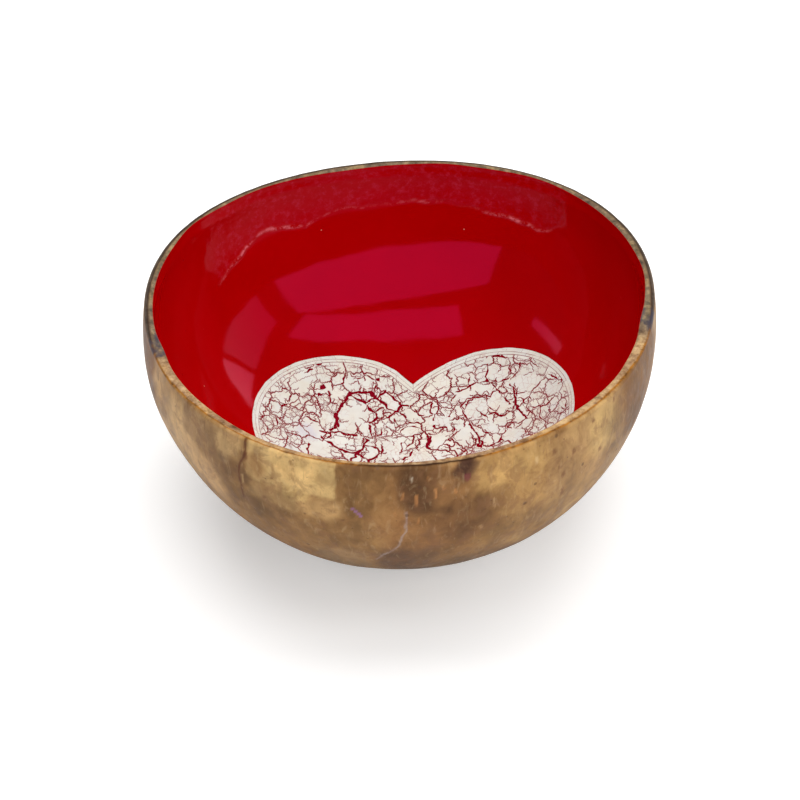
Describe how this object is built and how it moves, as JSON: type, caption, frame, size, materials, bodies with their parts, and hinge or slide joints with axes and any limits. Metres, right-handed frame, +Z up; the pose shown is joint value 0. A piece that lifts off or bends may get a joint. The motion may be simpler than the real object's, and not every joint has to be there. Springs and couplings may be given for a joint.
{
  "type": "coconut shell bowl",
  "caption": "Half coconut shell bowl with a polished natural outside, a glossy red lacquered inside and a white crackled eggshell heart laid into its bottom.",
  "frame": {"origin": "centre of the flat sanded foot", "axes": "+Z up out of the mouth, -Y towards the front, where the point of the heart lies, +X to the right seen from the front"},
  "size_m": [0.1368, 0.1427, 0.0645],
  "materials": {
    "coconut_shell": "polished natural shell with ochre, brown and grey mottling",
    "ground_lacquer": "dark red lacquer ground, flat",
    "red_lacquer": "deep red lacquer, high gloss",
    "eggshell": "creamy white eggshell, satin"
  },
  "bodies": {
    "root": {"shell": "coconut_shell", "ground_coat": "ground_lacquer", "red_lacquer": "red_lacquer", "heart_border": "eggshell", "heart_left": "eggshell", "heart_right": "eggshell", "heart_point": "eggshell"}
  },
  "joints": []
}
